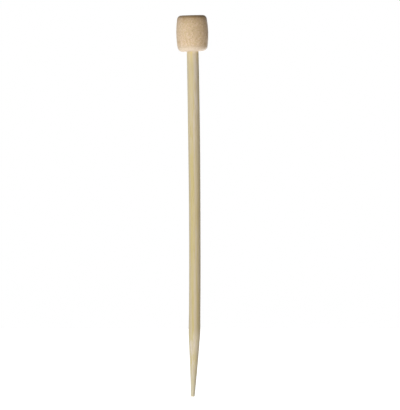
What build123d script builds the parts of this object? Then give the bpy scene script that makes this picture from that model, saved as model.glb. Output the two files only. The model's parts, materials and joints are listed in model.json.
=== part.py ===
"""A single-pointed straight knitting needle: a bamboo shaft with a long tapered point,
glued by a turned tenon into the blind bore of a barrel-shaped wooden end knob.

Frame: millimetres, +Z up, the needle upright with its point down. The origin is on the shaft's
axis where the shaft meets the knob: the knob stands above it and the shaft hangs below it.
"""

from build123d import *
import os
from math import radians, tan

# Shaft
shaft_diameter = 7.0  # the needle's gauge size
shaft_length = 208.2  # from the knob's underside to the point
point_length = 38.5  # of the cone, up to where its line meets the shaft's side
point_diameter = 2.05  # of the cone at its very end, before that end is rounded
point_nose = 0.65  # radius that blunts the very end
point_blend = 85.0  # radius that eases the shaft's side into the cone

# Knob
knob_height = 21.8
knob_diameter = 19.3  # at the middle of the barrel
barrel_bulge = 1.05  # how far the middle stands out past the ends, on each side
knob_foot_edge = 3.2  # radius of the rounded edge round the underside
knob_top_edge = 2.5  # radius of the rounded edge round the top

# Glued joint
shoulder = 0.5  # how far the shaft stands out past its tenon, on each side
tenon_length = 13.0
tenon_chamfer = 0.5
glue_thickness = 0.1  # round the tenon
glue_depth = 0.8  # past the tenon's end, up to the cone that the drill leaves
drill_angle = 118.0  # between the two sides of the drill's point
bore_chamfer = 0.25  # at the bore's mouth, which the shaft's shoulder covers

shaft_radius = shaft_diameter / 2
tenon_radius = shaft_radius - shoulder
bore_radius = tenon_radius + glue_thickness
bore_depth = tenon_length + glue_depth
knob_end_radius = knob_diameter / 2 - barrel_bulge


def turn_bore():
    """The knob's blind bore as a solid, with the drill's cone at its closed end."""
    with BuildPart() as bore:
        with BuildSketch(Plane.XZ):
            with BuildLine():
                Polyline(
                    (0, 0),
                    (bore_radius + bore_chamfer, 0),
                    (bore_radius, bore_chamfer),
                    (bore_radius, bore_depth),
                    (0, bore_depth + bore_radius / tan(radians(drill_angle / 2))),
                    close=True,
                )
            make_face()
        revolve(axis=Axis.Z)
    return bore.part


def turn_shaft():
    """Tenon, shoulder, straight side and tapered point, turned from one piece of bamboo."""
    with BuildPart() as shaft:
        with BuildSketch(Plane.XZ):
            with BuildLine():
                FilletPolyline(
                    (0, -shaft_length),
                    (point_diameter / 2, -shaft_length),
                    (shaft_radius, point_length - shaft_length),
                    (shaft_radius, 0),
                    (tenon_radius, 0),
                    (tenon_radius, tenon_length),
                    (0, tenon_length),
                    radius=(0, point_nose, point_blend, 0, 0, 0, 0),
                    close=True,
                )
            make_face()
        revolve(axis=Axis.Z)
        chamfer(shaft.edges().group_by(Axis.Z)[-1], length=tenon_chamfer)
    return shaft.part


def turn_end_knob(bore):
    """Barrel with rounded edges, bored from below for the tenon."""
    with BuildPart() as knob:
        with BuildSketch(Plane.XZ) as outline:
            with BuildLine():
                barrel = ThreePointArc(
                    (knob_end_radius, 0),
                    (knob_diameter / 2, knob_height / 2),
                    (knob_end_radius, knob_height),
                )
                Polyline(barrel @ 1, (0, knob_height), (0, 0), barrel @ 0)
            make_face()
            underside = outline.vertices().group_by(Axis.Y)[0]
            fillet(underside.sort_by(Axis.X)[-1], radius=knob_foot_edge)
            top = outline.vertices().group_by(Axis.Y)[-1]
            fillet(top.sort_by(Axis.X)[-1], radius=knob_top_edge)
        revolve(axis=Axis.Z)
        add(bore, mode=Mode.SUBTRACT)
    return knob.part


def fill_with_glue(bore, shaft):
    """Dried glue in the room that the tenon leaves in the bore."""
    with BuildPart() as glue:
        add(bore)
        add(shaft, mode=Mode.SUBTRACT)
    return glue.part


bore = turn_bore()
shaft = turn_shaft()
pieces = {
    "shaft": shaft,
    "end_knob": turn_end_knob(bore),
    "glue_film": fill_with_glue(bore, shaft),
}

os.makedirs("parts", exist_ok=True)
for name, piece in pieces.items():
    piece.label = name
    export_step(piece, f"parts/{name}.step")
    box = piece.bounding_box()
    print(f"{name}: {piece.volume:.1f} mm3, z {box.min.Z:.3f} to {box.max.Z:.3f}")

straight_side = shaft.faces().filter_by(GeomType.CYLINDER).sort_by(Axis.Z)[0]
print(f"straight side of the shaft: {-straight_side.bounding_box().min.Z:.3f} mm long")
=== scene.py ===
"""A bamboo knitting needle with a turned wooden end knob, standing on its point on a pale light table.

Metres, +Z up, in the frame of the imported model: the origin is where the shaft meets the knob.
Patterns inside the wood are worked out in millimetres.
"""

import json
import math

import bpy
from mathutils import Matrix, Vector


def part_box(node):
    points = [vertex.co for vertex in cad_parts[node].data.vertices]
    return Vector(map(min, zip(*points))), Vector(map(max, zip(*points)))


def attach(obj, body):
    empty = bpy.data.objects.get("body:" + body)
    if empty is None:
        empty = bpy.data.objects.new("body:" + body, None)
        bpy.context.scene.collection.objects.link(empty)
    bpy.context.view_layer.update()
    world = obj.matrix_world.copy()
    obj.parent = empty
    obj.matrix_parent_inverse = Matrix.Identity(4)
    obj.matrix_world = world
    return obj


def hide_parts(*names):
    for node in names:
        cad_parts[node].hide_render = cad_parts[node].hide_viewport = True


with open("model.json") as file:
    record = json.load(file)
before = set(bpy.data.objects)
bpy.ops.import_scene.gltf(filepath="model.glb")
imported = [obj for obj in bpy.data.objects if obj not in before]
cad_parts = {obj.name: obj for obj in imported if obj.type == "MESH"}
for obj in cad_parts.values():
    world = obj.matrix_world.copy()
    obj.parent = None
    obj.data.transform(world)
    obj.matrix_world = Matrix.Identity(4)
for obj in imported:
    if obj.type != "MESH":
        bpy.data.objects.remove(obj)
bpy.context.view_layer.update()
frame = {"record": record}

MM = 0.001
FULL_TURN = 2 * math.pi

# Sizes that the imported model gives
shaft_low, shaft_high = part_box("shaft")
knob_low, knob_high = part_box("end_knob")
glue_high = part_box("glue_film")[1]
slots = {row["slot"]: row["base_color"] for row in frame["record"]["materials"]}

tip = shaft_low.z  # the end of the point, which the needle stands on
seat = knob_low.z  # the knob's underside, where the shaft's shoulder bears on it
shaft_radius = shaft_high.x
knob_radius = knob_high.x
knob_height = knob_high.z - knob_low.z

# The shaft's point
point_length = 38.5 * MM
point_radius = 1.025 * MM  # of the cone at its very end, before that end is rounded
point_nose = 0.65 * MM  # radius that blunts the very end
point_blend = 85 * MM  # radius that eases the shaft's side into the cone
cone_top = tip + point_length  # where the cone's line meets the shaft's side

# The joint inside the knob
tenon_radius = 3.0 * MM
tenon_chamfer = 0.5 * MM
bore_radius = 3.1 * MM
bore_chamfer = 0.25 * MM
bore_bottom = 13.8 * MM  # where the drill's cone begins

# The knob's outline
barrel_bulge = 1.05 * MM  # how far the middle stands out past the ends, on each side
knob_foot_edge = 3.2 * MM  # radius of the rounded edge round the underside
knob_top_edge = 2.5 * MM  # radius of the rounded edge round the top

# The slight bow that the stick dried with, and the point ground a little to one side of it
bow = 1.48 * MM
point_aside = 1.42 * MM
knob_skew = 0.026  # radians that the knob's underside is out of square by, its right side up

# What the tools left on the surface
swelling_near_knob = 0.14 * MM  # how much further out the shaft stands there than in its middle
swelling_on_point = 0.12 * MM
sanded_off = 0.05 * MM  # all along the shaft
turning_pitch = 0.85  # mm from one ring of the turning tool to the next

# Which stretch of each tree the pieces were cut from: it shifts the grain along them, in mm
stem_stretch = 74
log_stretch = 116

# How finely the turned pieces are made
arc_steps = 14  # along each rounded stretch of an outline
merge_distance = 0.002 * MM  # points closer than this become one
crisp_angle = math.radians(40)  # an edge that turns by more than this stays sharp


# ---------------------------------------------------------------- node trees


def pick(sockets, key):
    """The socket at that place, or with that identifier or name."""
    if isinstance(key, int):
        return sockets[key]
    return next(s for s in sockets if key in (s.identifier, s.name))


class Wire:
    """An output socket. Arithmetic on it adds Math nodes to its tree."""

    def __init__(self, bench, socket):
        self.bench = bench
        self.socket = socket

    def out(self, name):
        """Another output of the same node."""
        return Wire(self.bench, pick(self.socket.node.outputs, name))

    def step(self, low, high):
        """0 below low and 1 above high, eased between them; the other way round if low is higher."""
        return self.bench.node(
            "ShaderNodeMapRange",
            {"interpolation_type": "SMOOTHSTEP"},
            {"Value": self, "From Min": low, "From Max": high},
        )

    def above_zero(self):
        return self.bench.math("MAXIMUM", self, 0.0)

    def __add__(self, other):
        return self.bench.math("ADD", self, other)

    def __radd__(self, other):
        return self.bench.math("ADD", other, self)

    def __sub__(self, other):
        return self.bench.math("SUBTRACT", self, other)

    def __rsub__(self, other):
        return self.bench.math("SUBTRACT", other, self)

    def __mul__(self, other):
        return self.bench.math("MULTIPLY", self, other)

    def __rmul__(self, other):
        return self.bench.math("MULTIPLY", other, self)

    def __truediv__(self, other):
        return self.bench.math("DIVIDE", self, other)

    def __pow__(self, other):
        return self.bench.math("POWER", self, other)


class Bench:
    """A shader or geometry tree, and the one way that nodes are added to it."""

    def __init__(self, tree):
        self.tree = tree

    def node(self, kind, settings=None, sockets=None, output=0):
        """Adds a node, sets it up, then fills or links its sockets. Gives one of its outputs."""
        made = self.tree.nodes.new(kind)
        for name, value in (settings or {}).items():
            if name == "stops":
                set_stops(made.color_ramp, value)
            else:
                setattr(made, name, value)
        for key, value in (sockets or {}).items():
            socket = pick(made.inputs, key)
            if isinstance(value, Wire):
                self.tree.links.new(value.socket, socket)
            else:
                socket.default_value = value
        return Wire(self, pick(made.outputs, output)) if made.outputs else None

    def math(self, operation, *values):
        sockets = dict(enumerate(values))
        return self.node("ShaderNodeMath", {"operation": operation}, sockets)

    def vector(self, operation, *values, output=0):
        sockets = dict(enumerate(values))
        return self.node("ShaderNodeVectorMath", {"operation": operation}, sockets, output)

    def scaled(self, place, *scale):
        return self.vector("MULTIPLY", place, scale)

    def joined(self, x=0.0, y=0.0, z=0.0):
        return self.node("ShaderNodeCombineXYZ", None, {"X": x, "Y": y, "Z": z})

    def split(self, place):
        parts = self.node("ShaderNodeSeparateXYZ", None, {0: place})
        return parts, parts.out("Y"), parts.out("Z")

    def noise(self, place, *scale, detail=2.0, roughness=0.5):
        """Smooth noise from 0 to 1, with its own scale along each axis."""
        sockets = {
            "Vector": self.scaled(place, *scale),
            "Scale": 1.0,
            "Detail": detail,
            "Roughness": roughness,
        }
        return self.node("ShaderNodeTexNoise", None, sockets)

    def blend(self, share, first, second):
        """The first colour where share is 0, and the second where it is 1."""
        return self.node(
            "ShaderNodeMix",
            {"data_type": "RGBA"},
            {"Factor_Float": share, "A_Color": first, "B_Color": second},
            "Result_Color",
        )


def set_stops(ramp, stops):
    """Gives a colour ramp these (place, colour) stops."""
    while len(ramp.elements) < len(stops):
        ramp.elements.new(1.0)
    for element, (place, colour) in zip(ramp.elements, stops):
        element.position = place
        element.color = opaque(colour)


def opaque(colour):
    return (*colour[:3], 1.0)


def tinted(colour, red, green, blue):
    """A colour made lighter or darker in each part."""
    return opaque((colour[0] * red, colour[1] * green, colour[2] * blue))


# ---------------------------------------------------------------- what the woods are like inside


def bowed_aside(along):
    """How far the stick's bow carries it towards +X at a height."""
    return bow * (1 - (1 - along / tip) ** 3)


def bamboo_grain(bench, place, bent=1):
    """Bamboo at a place in the stick: (layer, streak, bundle, vessel, fibre, mottle), each a wire.

    The stick was split from a stem's wall, whose inner side is at -X and outer side at +X.
    Everything runs nearly along Z, and follows the stick's bow where it has been bent.
    The ground point cuts it into long tongues.
    """
    along = bench.split(place)[2]
    unbent = bench.vector("SUBTRACT", place, bench.joined(x=bowed_aside(along) * bent))
    mm = bench.scaled(unbent, 1000, 1000, 1000)
    z = bench.split(mm)[2]
    wander = bench.node(
        "ShaderNodeTexNoise",
        {"noise_dimensions": "1D"},
        {"W": (z + stem_stretch) / 90, "Detail": 0.0},
    )
    drift = bench.vector("SUBTRACT", wander.out("Color"), (0.5, 0.5, 0.5))
    drift = bench.scaled(drift, 1.1, 1.1, 0)
    straight = bench.vector("ADD", mm, drift)
    x, y, z = bench.split(straight)
    x = x - z * 0.0030  # the grain runs a little aslant
    y = y - z * 0.0031
    crowding = 1.25 + x * 0.16  # bundles sit closer together towards the stem's outside
    cell = bench.joined(x * crowding + 40, y * crowding)
    bundles = bench.node(
        "ShaderNodeTexVoronoi",
        {"voronoi_dimensions": "2D"},
        {"Vector": cell, "Scale": 1.0, "Randomness": 0.8},
    )
    kind = bench.split(bundles.out("Color"))[0]
    bundle = bundles.out("Distance").step(0.46, 0.22) * (0.45 + kind * 0.55)
    vessel = bundles.out("Distance").step(0.16, 0.07) * (0.3 + kind * 0.7)
    run = bench.joined(x, y, z + stem_stretch)
    fibre = bench.noise(run, 4.4, 4.4, 0.060, detail=3.0, roughness=0.62)
    mottle = bench.noise(run, 2.2, 2.2, 0.22, detail=3.0, roughness=0.55)
    streak = bench.noise(run, 1.5, 1.5, 0.016, detail=2.0, roughness=0.6)
    swing = z.step(-60, -20) * 0.09  # the grain swings aside on its way to the knob
    unevenness = (bench.noise(run, 0.5, 0.9, 0.012) - 0.5) * 0.10
    width = 2 * shaft_radius / MM
    layer = x / width + 0.5 - swing + unevenness
    return layer, streak, bundle, vessel, fibre, mottle


def knob_grain(bench, place):
    """The knob's wood at a place in it: (ring, stain, mottle, fleck, pore), each a wire.

    The tree's pith lay outside the knob, towards -Y and a little towards +X, and ran nearly along Z.
    """
    mm = bench.vector("ADD", bench.scaled(place, 1000, 1000, 1000), (0, 0, log_stretch))
    warp = bench.node("ShaderNodeTexNoise", None, {"Vector": mm, "Scale": 0.09, "Detail": 2.0})
    bent = bench.vector("SUBTRACT", warp.out("Color"), (0.5, 0.5, 0.5))
    bent = bench.vector("ADD", mm, bench.scaled(bent, 3.0, 3.0, 3.0))
    x, y, z = bench.split(bent)
    x = x - 13 + z * 0.05
    y = y + 31 - z * 0.09
    reach = bench.vector("LENGTH", bench.joined(x, y), output="Value")
    year = reach * 0.52
    growth = bench.math("FRACT", year)
    ring = growth.step(0.3, 0.93) * growth.step(1.0, 0.95)
    stain = bench.noise(mm, 0.34, 0.34, 0.26, detail=2.0).step(0.56, 0.70)
    mottle = bench.noise(mm, 1.0, 1.0, 0.85, detail=3.0, roughness=0.68)
    fleck = bench.noise(mm, 1.8, 1.8, 1.5, detail=2.0, roughness=0.6).step(0.53, 0.68)
    pore = bench.noise(mm, 8.5, 8.5, 0.9, detail=1.0).step(0.62, 0.76)
    return ring, stain, mottle, fleck, pore


# ---------------------------------------------------------------- materials


def surface(name):
    """A new material: its bench, its Principled shader and the place on the piece."""
    material = bpy.data.materials.new(name)
    material.use_nodes = True
    bench = Bench(material.node_tree)
    shader = material.node_tree.nodes["Principled BSDF"]
    place = bench.node("ShaderNodeTexCoord", output="Object")
    return material, bench, shader, place


def feed(bench, shader, **sockets):
    """Links wires to the shader's sockets, and sets numbers and colours on them."""
    for name, value in sockets.items():
        socket = shader.inputs[name.replace("_", " ")]
        if isinstance(value, Wire):
            bench.tree.links.new(value.socket, socket)
        else:
            socket.default_value = value


def bump(bench, height, distance):
    return bench.node(
        "ShaderNodeBump",
        None,
        {"Strength": 1.0, "Distance": distance, "Height": height},
        "Normal",
    )


def waxed_bamboo():
    """Straw-coloured, streaked with yellow and pale grey, with brown bundles and fine fibres."""
    material, bench, shader, place = surface("waxed_bamboo")
    base = slots["bamboo"]
    ashen = tinted(base, 1.04, 1.10, 1.24)
    straw = tinted(base, 0.94, 0.96, 0.98)
    yellow = tinted(base, 0.95, 0.95, 0.64)
    honey = tinted(base, 0.97, 0.94, 0.64)
    cream = tinted(base, 1.02, 1.04, 1.03)
    pale = tinted(base, 1.05, 1.08, 1.26)
    ochre = tinted(base, 0.98, 0.97, 0.82)
    silver = tinted(base, 1.10, 1.16, 1.52)
    raw = tinted(base, 0.95, 0.99, 0.96)
    fresh = tinted(base, 1.12, 1.17, 1.30)
    tip_grey = tinted(base, 0.97, 1.08, 1.30)
    brown = tinted(base, 0.56, 0.50, 0.40)
    layer, streak, bundle, vessel, fibre, mottle = bamboo_grain(bench, place)
    bands = [
        (0.03, straw),
        (0.14, straw),
        (0.22, yellow),
        (0.42, yellow),
        (0.50, cream),
        (0.58, pale),
        (0.66, cream),
        (0.75, ochre),
        (0.80, ochre),
        (0.87, ashen),
        (0.96, straw),
    ]
    colour = bench.node("ShaderNodeValToRGB", {"stops": bands}, {"Fac": layer})
    along = bench.split(place)[2]
    near_knob = along.step(-75 * MM, -35 * MM)
    outer_band = layer.step(0.40, 0.52) * layer.step(0.82, 0.72)
    colour = bench.blend(near_knob * 0.50, colour, cream)
    colour = bench.blend(near_knob * outer_band * 0.9, colour, silver)
    colour = bench.blend(streak.step(0.50, 0.58) * 0.62, colour, honey)
    colour = bench.blend(streak.step(0.47, 0.39) * 0.50, colour, pale)
    colour = bench.blend(bundle * 0.22, colour, ochre)
    colour = bench.blend(mottle.step(0.50, 0.75) * 0.35, colour, pale)
    colour = bench.blend(along.step(-20 * MM, -100 * MM) * 0.08, colour, brown)

    # The ground point: raw wood, a painted highlight where the taper begins, torn along its length and grey
    # at its end
    ground = along.step(cone_top + 4 * MM, cone_top - 8 * MM)
    torn = bench.vector("ADD", place, (0, 0, stem_stretch * MM))
    torn = bench.noise(torn, 1500, 1500, 130, detail=3.0)
    colour = bench.blend(ground * 0.75, colour, raw)
    cone_foot = along.step(cone_top + 2 * MM, cone_top - 3 * MM)
    # A silvery band where the side turns into the cone: a painted highlight
    painted_taper_highlight = cone_foot * along.step(cone_top - 14 * MM, cone_top - 7 * MM)
    colour = bench.blend(painted_taper_highlight * layer.step(0.25, 0.45) * 0.45, colour, silver)
    colour = bench.blend(ground * torn.step(0.50, 0.55) * 0.75, colour, silver)
    colour = bench.blend(ground * torn.step(0.48, 0.42) * 0.80, colour, yellow)
    colour = bench.blend(along.step(tip + 22 * MM, tip + 6 * MM) * 0.60, colour, tip_grey)
    colour = bench.blend(ground * layer.step(0.55, 0.80) * 0.80, colour, fresh)

    colour = bench.blend(fibre.step(0.54, 0.72) * 0.46, colour, brown)
    colour = bench.blend(vessel * 0.38, colour, brown)
    height = bundle * 0.3 - vessel * 0.5 - fibre.step(0.5, 0.8) * 0.5
    feed(
        bench,
        shader,
        Base_Color=colour,
        Roughness=0.44 + fibre * 0.12 - bundle * 0.06,
        Normal=bump(bench, height, 0.03 * MM),
        Coat_Weight=0.12,
        Coat_Roughness=0.32,
    )
    return material


def waxed_knob_wood():
    """Golden tan, finely mottled, with olive stains and small brown flecks, painted shade over the top and
    down one side, and a painted highlight on the foot.
    """
    material, bench, shader, place = surface("waxed_knob_wood")
    base = slots["knob_wood"]
    rosy = tinted(base, 1.14, 1.13, 1.18)
    tan = tinted(base, 0.97, 0.94, 0.80)
    leafy = tinted(base, 0.89, 0.94, 0.80)
    olive = tinted(base, 0.78, 0.70, 0.46)
    painted_foot_highlight = tinted(base, 0.95, 1.06, 1.20)
    brown = tinted(base, 0.60, 0.50, 0.38)
    ring, stain, mottle, fleck, pore = knob_grain(bench, place)
    hue = bench.split(mottle.out("Color"))[1]
    colour = bench.blend(mottle.step(0.36, 0.60), rosy, tan)
    colour = bench.blend(hue.step(0.50, 0.64) * 0.5, colour, leafy)
    colour = bench.blend(stain * 0.75, colour, olive)
    colour = bench.blend(ring * 0.10, colour, brown)
    colour = bench.blend(fleck * 0.54, colour, brown)
    colour = bench.blend(pore * 0.25, colour, brown)

    # Painted shade down the +X side and over the top, a painted highlight on the foot, and painted shade on
    # the up-facing rim, where the top's end grain is
    x, _, up = bench.split(place)
    # Darker brown down the +X side, from 5 mm up to the top: painted shade on the side turned from the
    # light
    painted_side_shade = x.step(6 * MM, 9.6 * MM) * up.step(5 * MM, 12 * MM)
    colour = bench.blend(painted_side_shade * 0.30, colour, brown)
    # The top 6 mm darker brown: painted shade, as the top faces away from the light below
    colour = bench.blend(up.step(knob_height - 6 * MM, knob_height) * 0.55, colour, brown)
    # The lowest 4.5 mm paler and bluer: a painted highlight from the light below
    colour = bench.blend(up.step(4.5 * MM, 1 * MM) * 0.60, colour, painted_foot_highlight)
    facing = bench.split(bench.node("ShaderNodeTexCoord", output="Normal"))[2]
    # Up-facing surfaces darker brown, most on the rounded top rim and half as much on the flat top: partly
    # the top's darker end grain, partly painted shade on the rim that faces away from the light; the same
    # mask makes the end grain a little rougher
    end_grain_and_rim_shade = facing.step(0.35, 0.9) * (1 - facing.step(0.92, 1.0) * 0.5)
    colour = bench.blend(end_grain_and_rim_shade * 0.25, colour, brown)
    height = 0.6 - fleck * 0.25 - pore * 0.5 - ring * 0.15
    feed(
        bench,
        shader,
        Base_Color=colour,
        Roughness=0.50 + pore * 0.15 + end_grain_and_rim_shade * 0.08,
        Normal=bump(bench, height, 0.035 * MM),
        Coat_Weight=0.10,
        Coat_Roughness=0.35,
    )
    return material


def dried_glue():
    """Amber-cream wood glue, glossy where it set against the wood, with small bubbles."""
    material, bench, shader, place = surface("dried_glue")
    base = slots["wood_glue"]
    mm = bench.scaled(place, 1000, 1000, 1000)
    cloud = bench.noise(mm, 0.8, 0.8, 0.5, detail=3.0)
    bubbles = bench.node("ShaderNodeTexVoronoi", None, {"Vector": mm, "Scale": 2.6})
    bubble = bubbles.out("Distance").step(0.26, 0.12)
    colour = bench.blend(cloud.step(0.3, 0.7), opaque(base), tinted(base, 0.86, 0.74, 0.58))
    colour = bench.blend(bubble * 0.5, colour, tinted(base, 1.1, 1.15, 1.25))
    feed(
        bench,
        shader,
        Base_Color=colour,
        Roughness=0.28 + cloud * 0.2,
        Normal=bump(bench, bubble * -1.0, 0.05 * MM),
    )
    return material


def plain_floor():
    """The light table's white top: pale and matt, and lit from inside."""
    material, bench, shader, place = surface("light_table")
    fine = bench.noise(place, 900, 900, 900, detail=2.0)
    feed(
        bench,
        shader,
        Base_Color=(0.80, 0.80, 0.79, 1.0),
        Roughness=0.55 + fine * 0.1,
        Emission_Color=(1.0, 1.0, 0.995, 1.0),
        Emission_Strength=0.975,
    )
    return material


# ---------------------------------------------------------------- turning


def arc(centre, radius, start, end):
    """Points along an arc in the outline's plane, both ends included. Angles in degrees from +X."""
    points = []
    for step in range(arc_steps + 1):
        angle = math.radians(start + (end - start) * step / arc_steps)
        points.append((centre[0] + radius * math.cos(angle), centre[1] + radius * math.sin(angle)))
    return points


def rounded(before, corner, after, radius):
    """The arc that rounds a corner between two straight lines."""
    to_before = unit(before[0] - corner[0], before[1] - corner[1])
    to_after = unit(after[0] - corner[0], after[1] - corner[1])
    half = math.acos(to_before[0] * to_after[0] + to_before[1] * to_after[1]) / 2
    middle = unit(to_before[0] + to_after[0], to_before[1] + to_after[1])
    reach = radius / math.sin(half)
    centre = (corner[0] + middle[0] * reach, corner[1] + middle[1] * reach)
    touch = radius / math.tan(half)
    first = (corner[0] + to_before[0] * touch, corner[1] + to_before[1] * touch)
    last = (corner[0] + to_after[0] * touch, corner[1] + to_after[1] * touch)
    start = math.degrees(math.atan2(first[1] - centre[1], first[0] - centre[0]))
    end = math.degrees(math.atan2(last[1] - centre[1], last[0] - centre[0]))
    turn = (end - start + 180) % 360 - 180
    return arc(centre, radius, start, start + turn)


def unit(x, z):
    length = math.hypot(x, z)
    return x / length, z / length


def shaft_outline():
    """From the point's end, up the shaft's side, round its shoulder and tenon, to the axis."""
    foot = (0, tip)
    nose = (point_radius, tip)
    brow = (shaft_radius, cone_top)
    shoulder = (shaft_radius, seat)
    top = shaft_high.z
    return [
        foot,
        *rounded(foot, nose, brow, point_nose),
        *rounded(nose, brow, shoulder, point_blend),
        shoulder,
        (tenon_radius, seat),
        (tenon_radius, top - tenon_chamfer),
        (tenon_radius - tenon_chamfer, top),
        (0, top),
    ]


def edge_on_barrel(radius, barrel_radius):
    """A rounded edge inside the barrel's curve: how far out from the curve's centre its own centre
    is, and how many degrees round the barrel it meets the side."""
    rise = knob_height / 2 - radius
    reach = barrel_radius - radius
    return math.sqrt(reach**2 - rise**2), math.degrees(math.asin(rise / reach))


def knob_outline():
    """From the drilled bore's end, out of its mouth, round the barrel, to the middle of the top."""
    half = knob_height / 2
    barrel_radius = (half**2 + barrel_bulge**2) / (2 * barrel_bulge)
    barrel_centre = (knob_radius - barrel_radius, seat + half)
    foot_out, foot_slope = edge_on_barrel(knob_foot_edge, barrel_radius)
    top_out, top_slope = edge_on_barrel(knob_top_edge, barrel_radius)
    foot_edge = (barrel_centre[0] + foot_out, seat + knob_foot_edge)
    top_edge = (barrel_centre[0] + top_out, seat + knob_height - knob_top_edge)
    return [
        (0, glue_high.z),
        (bore_radius, bore_bottom),
        (bore_radius, seat + bore_chamfer),
        (bore_radius + bore_chamfer, seat),
        *arc(foot_edge, knob_foot_edge, -90, -foot_slope),
        *arc(barrel_centre, barrel_radius, -foot_slope, top_slope)[1:-1],
        *arc(top_edge, knob_top_edge, top_slope, 90),
        (0, seat + knob_height),
    ]


def glue_outline():
    """From the middle of the tenon's end, down between tenon and bore, and up to the drill's point."""
    top = shaft_high.z
    return [
        (0, top),
        (tenon_radius - tenon_chamfer, top),
        (tenon_radius, top - tenon_chamfer),
        (tenon_radius, seat),
        (bore_radius + bore_chamfer, seat),
        (bore_radius, seat + bore_chamfer),
        (bore_radius, bore_bottom),
        (0, glue_high.z),
    ]


def no_relief(bench, place):
    """Glue takes its surface from the wood on both sides of it."""
    return 0.0


def shaft_relief(bench, place):
    """How far the shaft's surface stands out: flats left by sanding, and fibres standing proud."""
    _, _, bundle, vessel, fibre, _ = bamboo_grain(bench, place, bent=0)
    wave = bench.noise(bench.scaled(place, 1000, 1000, 1000), 0.25, 0.25, 0.02, detail=1.0)
    proud = (bundle * 0.4 - vessel * 0.6 - fibre.step(0.45, 0.8)) * 0.012 * MM
    flats = (wave - 0.5) * 0.06 * MM
    along = bench.split(place)[2]
    near_knob = along.step(-110 * MM, -45 * MM) * swelling_near_knob
    on_point = along.step(-155 * MM, -172 * MM) * swelling_on_point
    height = proud + flats + near_knob + on_point - sanded_off
    exposed = along.step(seat - 0.1 * MM, seat - 2 * MM)
    return height * exposed


def knob_relief(bench, place):
    """How far the knob's surface stands out: shallow turning rings, flecks and open pores."""
    ring, _, _, fleck, pore = knob_grain(bench, place)
    x, y, z = bench.split(bench.scaled(place, 1000, 1000, 1000))
    reach = bench.vector("LENGTH", bench.joined(x, y), output="Value")
    cuts = (z - reach * 0.9) * (FULL_TURN / turning_pitch)
    cut = bench.math("SINE", cuts)
    height = cut * 0.004 - fleck * 0.008 - pore * 0.018 - ring * 0.006
    exposed = reach.step(shaft_radius / MM + 0.1, shaft_radius / MM + 0.8)
    above = z.step(knob_height / MM - 1.0, knob_height / MM - 0.5)
    return height * MM * bench.math("MAXIMUM", exposed, above)


def turning_tree(name, relief):
    """Turns the piece's half outline about Z, lays out its map, and gives it the wood's relief."""
    tree = bpy.data.node_groups.new(name, "GeometryNodeTree")
    inputs = {
        "Outline": "Geometry",
        "Segments": "Int",
        "Ring spacing": "Float",
        "Relief": "Float",
        "Skew": "Float",
        "Material": "Material",
    }
    for socket, kind in inputs.items():
        tree.interface.new_socket(socket, in_out="INPUT", socket_type="NodeSocket" + kind)
    tree.interface.new_socket("Piece", in_out="OUTPUT", socket_type="NodeSocketGeometry")
    bench = Bench(tree)
    given = bench.node("NodeGroupInput")
    here = bench.node("GeometryNodeInputPosition")

    # Points along the outline, no further apart than the spacing, with every corner kept
    following = bench.node("GeometryNodeOffsetPointInCurve", None, {"Offset": 1}, "Point Index")
    at_next = bench.node(
        "GeometryNodeFieldAtIndex",
        {"data_type": "FLOAT_VECTOR"},
        {"Index": following, "Value": here},
    )
    run = bench.vector("DISTANCE", here, at_next, output="Value")
    cuts = run / given.out("Ring spacing")
    rings = bench.node(
        "GeometryNodeSubdivideCurve",
        None,
        {"Curve": given.out("Outline"), "Cuts": bench.math("FLOOR", cuts)},
    )
    count = bench.node(
        "GeometryNodeAttributeDomainSize",
        {"component": "CURVE"},
        {"Geometry": rings},
        "Point Count",
    )

    # A sheet with one column for each segment, bent round the axis
    sheet = bench.node(
        "GeometryNodeMeshGrid",
        None,
        {"Vertices X": given.out("Segments") + 1, "Vertices Y": count},
    )
    index = bench.node("GeometryNodeInputIndex")
    column = bench.math("FLOOR", index / count)
    on_outline = bench.node(
        "GeometryNodeSampleIndex",
        {"data_type": "FLOAT_VECTOR"},
        {"Geometry": rings, "Value": here, "Index": index - column * count},
    )
    turned = bench.node(
        "ShaderNodeVectorRotate",
        {"rotation_type": "Z_AXIS"},
        {"Vector": on_outline, "Angle": column * FULL_TURN / given.out("Segments")},
    )
    mapped = bench.node(
        "GeometryNodeStoreNamedAttribute",
        {"data_type": "FLOAT2", "domain": "CORNER"},
        {"Geometry": sheet, "Name": "OFBake", "Value": sheet.out("UV Map")},
    )
    piece = bench.node("GeometryNodeSetPosition", None, {"Geometry": mapped, "Position": turned})
    piece = bench.node("GeometryNodeMergeByDistance", None, {"Geometry": piece, "Distance": merge_distance})

    # Relief along the normals, and the slight bow that the stick dried with
    normal = bench.node("GeometryNodeInputNormal")
    height = relief(bench, here) * given.out("Relief")
    raised = bench.node("ShaderNodeVectorMath", {"operation": "SCALE"}, {0: normal, "Scale": height})
    piece = bench.node("GeometryNodeSetPosition", None, {"Geometry": piece, "Offset": raised})
    x, y, along = bench.split(here)
    aside = bowed_aside(along) - point_aside * (along / tip) ** 6
    slope = 3 * bow / tip * (1 - along / tip) ** 2  # of the bow, which tilts every ring with it
    askew = given.out("Skew") * (1 - along / knob_height)
    reach = bench.vector("LENGTH", bench.joined(x, y), output="Value")
    askew = askew * reach.step(shaft_radius, shaft_radius + 1.5 * MM)  # the seat itself is square
    bowed = bench.joined(x=aside, z=x * (askew - slope))
    piece = bench.node("GeometryNodeSetPosition", None, {"Geometry": piece, "Offset": bowed})

    # Smooth all over, apart from the crisp edges
    angle = bench.node("GeometryNodeInputMeshEdgeAngle")
    crisp = bench.math("GREATER_THAN", angle, crisp_angle)
    piece = bench.node(
        "GeometryNodeSetShadeSmooth",
        {"domain": "EDGE"},
        {"Geometry": piece, "Selection": crisp, "Shade Smooth": False},
    )
    piece = bench.node("GeometryNodeRealizeInstances", None, {"Geometry": piece})
    piece = bench.node(
        "GeometryNodeSetMaterial", None, {"Geometry": piece, "Material": given.out("Material")}
    )
    bench.node("NodeGroupOutput", None, {"Piece": piece})
    return tree


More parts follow.
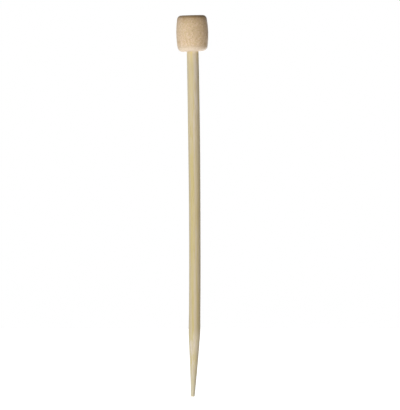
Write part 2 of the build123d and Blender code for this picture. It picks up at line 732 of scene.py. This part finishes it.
def turn(name, outline, relief, material, **sizes):
    """A turned piece as a plain mesh, from its half outline in the XZ plane."""
    drawing = bpy.data.curves.new(name + "_outline", "CURVE")
    drawing.dimensions = "3D"
    line = drawing.splines.new("POLY")
    line.points.add(len(outline) - 1)
    for point, (x, z) in zip(line.points, outline):
        point.co = (x, 0, z, 1)
    blank = bpy.data.objects.new(name + "_blank", drawing)
    bpy.context.scene.collection.objects.link(blank)
    modifier = blank.modifiers.new("turning", "NODES")
    modifier.node_group = turning_tree(name + "_turning", relief)
    given = {"Material": material, **{key.replace("_", " "): value for key, value in sizes.items()}}
    for item in modifier.node_group.interface.items_tree:
        if item.name in given:
            modifier[item.identifier] = given[item.name]
    bpy.context.view_layer.update()
    evaluated = blank.evaluated_get(bpy.context.evaluated_depsgraph_get())
    mesh = bpy.data.meshes.new_from_object(evaluated)
    mesh.name = name
    bpy.data.objects.remove(blank)
    piece = bpy.data.objects.new(name, mesh)
    bpy.context.scene.collection.objects.link(piece)
    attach(piece, "root")
    return piece


# ---------------------------------------------------------------- the needle

shaft = turn(
    "bamboo_shaft",
    shaft_outline(),
    shaft_relief,
    waxed_bamboo(),
    Segments=150,
    Ring_spacing=0.4 * MM,
    Relief=1.0,
    Skew=0.0,
)
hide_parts("shaft")

knob = turn(
    "turned_knob",
    knob_outline(),
    knob_relief,
    waxed_knob_wood(),
    Segments=256,
    Ring_spacing=0.24 * MM,
    Relief=1.0,
    Skew=knob_skew,
)
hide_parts("end_knob")

glue = turn(
    "dried_glue_film",
    glue_outline(),
    no_relief,
    dried_glue(),
    Segments=96,
    Ring_spacing=0.5 * MM,
    Relief=0.0,
    Skew=0.0,
)
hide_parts("glue_film")


# ---------------------------------------------------------------- the stage

middle = (knob_high.z + tip) / 2  # half way up the needle


def lay_floor():
    """A wide round table top at the point's level."""
    rim_points = 96
    table_radius = 3.0
    rim = []
    for step in range(rim_points):
        angle = FULL_TURN * step / rim_points
        rim.append((table_radius * math.cos(angle), table_radius * math.sin(angle), tip))
    mesh = bpy.data.meshes.new("floor")
    mesh.from_pydata(rim, [], [range(rim_points)])
    mesh.materials.append(plain_floor())
    floor = bpy.data.objects.new("floor", mesh)
    bpy.context.scene.collection.objects.link(floor)
    floor.visible_diffuse = False
    floor.visible_glossy = False
    floor.visible_shadow = False


def set_surroundings():
    """White to the camera. To all else, soft glows around the needle, the strongest low in front."""
    glows = [  # (which way it lies, how tight it is, its colour times its strength)
        ((-0.10, -0.79, -0.60), 3, (2.10, 2.02, 1.75)),
        ((-0.10, -0.45, -0.89), 3, (0.85, 0.93, 1.40)),
        ((-0.93, -0.31, -0.20), 3, (0.62, 0.65, 0.64)),
        ((-0.95, 0.31, -0.05), 4, (0.55, 0.60, 0.74)),
        ((0.25, 0.92, -0.30), 6, (2.40, 2.40, 2.40)),
        ((0.00, 0.20, 0.98), 4, (0.30, 0.29, 0.26)),
        ((0.00, 0.50, 0.87), 14, (0.50, 0.49, 0.46)),
    ]
    world = bpy.data.worlds.new("studio")
    world.use_nodes = True
    bpy.context.scene.world = world
    tree = world.node_tree
    tree.nodes.clear()
    bench = Bench(tree)
    ray = bench.node("ShaderNodeTexCoord", output="Generated")
    light = (0, 0, 0)
    for way, tightness, colour in glows:
        share = bench.vector("DOT_PRODUCT", ray, way, output="Value").above_zero() ** tightness
        glow = bench.node("ShaderNodeVectorMath", {"operation": "SCALE"}, {0: colour, "Scale": share})
        light = bench.vector("ADD", glow, light)
    white = bench.node("ShaderNodeBackground", None, {"Color": (1, 1, 1, 1), "Strength": 1.0})
    room = bench.node("ShaderNodeBackground", None, {"Color": light, "Strength": 1.0})
    seen = bench.node("ShaderNodeLightPath", output="Is Camera Ray")
    both = bench.node("ShaderNodeMixShader", None, {0: seen, 1: room, 2: white})
    bench.node("ShaderNodeOutputWorld", None, {"Surface": both})


def hang_softbox(name, place, target, width, length, power, colour):
    """A soft rectangular light at a place, facing a target."""
    light = bpy.data.lights.new(name, "AREA")
    light.shape = "RECTANGLE"
    light.size = width
    light.size_y = length
    light.energy = power
    light.color = colour
    lamp = bpy.data.objects.new(name, light)
    bpy.context.scene.collection.objects.link(lamp)
    lamp.location = place
    facing = Vector(target) - Vector(place)
    lamp.rotation_euler = facing.to_track_quat("-Z", "Y").to_euler()


def set_camera():
    """Square on to the needle, a little to its right, from far enough to flatten the perspective."""
    view_height = 247.3 * MM  # what the frame takes in, top to bottom, at the needle
    lens = 800.0
    sensor = 36.0
    camera = bpy.data.cameras.new("camera")
    camera.lens = lens
    camera.sensor_width = sensor
    camera.clip_end = 20
    stand = bpy.data.objects.new("camera", camera)
    bpy.context.scene.collection.objects.link(stand)
    aside = 4.4 * MM
    raised = 0.6 * MM
    stand.location = (aside, -view_height * lens / sensor, middle + raised)
    stand.rotation_euler = (math.radians(90), 0, 0)
    bpy.context.scene.camera = stand


lay_floor()
set_surroundings()
hang_softbox(
    "key",
    place=(-0.85, -0.70, middle),
    target=(0, 0, middle),
    width=0.7,
    length=0.20,
    power=0.25,
    colour=(1.0, 0.985, 0.96),
)
set_camera()
bpy.context.scene.view_settings.view_transform = "Standard"
